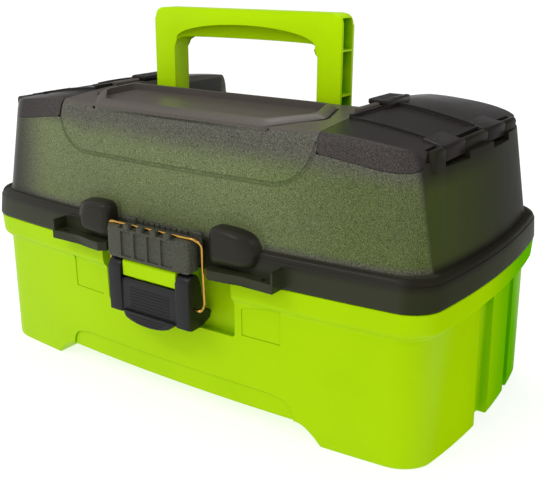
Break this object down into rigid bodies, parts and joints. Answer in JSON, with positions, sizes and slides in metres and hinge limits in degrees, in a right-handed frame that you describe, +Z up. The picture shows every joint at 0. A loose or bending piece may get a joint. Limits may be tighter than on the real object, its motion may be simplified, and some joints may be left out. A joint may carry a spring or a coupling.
{
  "type": "fishing tackle box",
  "caption": "Portable fishing tackle box with a moulded tub, hinged lid with two top doors, folding carry handle, draw latch and two cantilever trays that rise as the lid opens.",
  "frame": {"origin": "middle of the bounding box in plan, on the plane its feet stand on", "axes": "+X along the length to the right end, +Y to the back where the lid hinges, -Y is the front with the latch, +Z up"},
  "size_m": [0.413, 0.2596, 0.2795],
  "materials": {
    "lime_plastic": "satin translucent lime green polypropylene",
    "smoke_plastic": "dark translucent smoke plastic with a fine pebble grain",
    "dark_smoke_plastic": "dark smoke plastic, pebble grain",
    "black_plastic": "black, lightly polished",
    "brass_wire": "brass plated spring wire",
    "steel": "zinc plated steel",
    "divider_plastic": "thin grey translucent plastic"
  },
  "bodies": {
    "base": {"base_tub": "lime_plastic", "hinge_pin_left": "steel", "hinge_pin_right": "steel", "lever_pin": "steel", "clip_tub_rear_left": "steel", "clip_tub_rear_right": "steel", "clip_tub_front_left": "steel", "clip_tub_front_right": "steel"},
    "lid": {"lid_shell": "smoke_plastic", "catch_block": "smoke_plastic", "handle_pin_left": "steel", "handle_pin_right": "steel", "door_pin_left": "steel", "door_pin_right": "steel"},
    "door_left": {"door_left": "dark_smoke_plastic"},
    "door_right": {"door_right": "dark_smoke_plastic"},
    "handle": {"handle": "lime_plastic"},
    "lever": {"latch_lever": "black_plastic"},
    "bail": {"bail_wire": "brass_wire"},
    "lower_tray": {"lower_tray": "lime_plastic", "divider_lower_left": "divider_plastic", "divider_lower_right": "divider_plastic", "clip_lower_rear_left": "steel", "clip_lower_rear_right": "steel", "clip_lower_front_left": "steel", "clip_lower_front_right": "steel"},
    "upper_tray": {"upper_tray": "lime_plastic", "divider_upper_left": "divider_plastic", "divider_upper_right": "divider_plastic", "clip_upper_rear_left": "steel", "clip_upper_rear_right": "steel", "clip_upper_front_left": "steel", "clip_upper_front_right": "steel"},
    "arm_rear_left": {"arm_rear_left": "steel"},
    "arm_rear_right": {"arm_rear_right": "steel"},
    "arm_front_left": {"arm_front_left": "steel"},
    "arm_front_right": {"arm_front_right": "steel"}
  },
  "joints": [
    {"name": "lid_hinge", "type": "hinge", "parent": "base", "child": "lid", "pos_m": [0, 0.1253, 0.112], "axis": [-1, 0, 0], "range_deg": [0, 100]},
    {"name": "door_left_hinge", "type": "hinge", "parent": "lid", "child": "door_left", "pos_m": [-0.1835, 0.0037, 0.203], "axis": [0, -1, 0], "range_deg": [0, 110]},
    {"name": "door_right_hinge", "type": "hinge", "parent": "lid", "child": "door_right", "pos_m": [0.1835, 0.0037, 0.203], "axis": [0, 1, 0], "range_deg": [0, 110]},
    {"name": "handle_fold", "type": "hinge", "parent": "lid", "child": "handle", "pos_m": [0, -0.0058, 0.203], "axis": [-1, 0, 0], "range_deg": [0, 90]},
    {"name": "latch_lever", "type": "hinge", "parent": "base", "child": "lever", "pos_m": [0, -0.1218, 0.105], "axis": [-1, 0, 0], "range_deg": [0, 90]},
    {"name": "bail_swing", "type": "hinge", "parent": "lever", "child": "bail", "pos_m": [0, -0.1218, 0.086], "axis": [-1, 0, 0], "range_deg": [-90, 0]},
    {"name": "arm_rear_left", "type": "hinge", "parent": "base", "child": "arm_rear_left", "pos_m": [-0.1825, 0.0487, 0.088], "axis": [-1, 0, 0], "range_deg": [0, 85]},
    {"name": "arm_rear_right", "type": "hinge", "parent": "base", "child": "arm_rear_right", "pos_m": [0.1825, 0.0487, 0.088], "axis": [-1, 0, 0], "range_deg": [0, 85]},
    {"name": "arm_front_left", "type": "hinge", "parent": "base", "child": "arm_front_left", "pos_m": [-0.1825, -0.0013, 0.088], "axis": [-1, 0, 0], "range_deg": [0, 85]},
    {"name": "arm_front_right", "type": "hinge", "parent": "base", "child": "arm_front_right", "pos_m": [0.1825, -0.0013, 0.088], "axis": [-1, 0, 0], "range_deg": [0, 85]},
    {"name": "lower_tray_carry", "type": "hinge", "parent": "arm_rear_left", "child": "lower_tray", "pos_m": [-0.1825, 0.0107, 0.098], "axis": [-1, 0, 0], "range_deg": [-85, 0]},
    {"name": "upper_tray_carry", "type": "hinge", "parent": "arm_rear_left", "child": "upper_tray", "pos_m": [-0.1825, -0.0133, 0.122], "axis": [-1, 0, 0], "range_deg": [-85, 0]}
  ],
  "couplings": [
    {"joint": "bail_swing", "follows": "latch_lever", "ratio": -1},
    {"joint": "arm_rear_left", "follows": "lid_hinge", "ratio": 0.85},
    {"joint": "arm_rear_right", "follows": "lid_hinge", "ratio": 0.85},
    {"joint": "arm_front_left", "follows": "lid_hinge", "ratio": 0.85},
    {"joint": "arm_front_right", "follows": "lid_hinge", "ratio": 0.85},
    {"joint": "lower_tray_carry", "follows": "lid_hinge", "ratio": -0.85},
    {"joint": "upper_tray_carry", "follows": "lid_hinge", "ratio": -0.85}
  ]
}
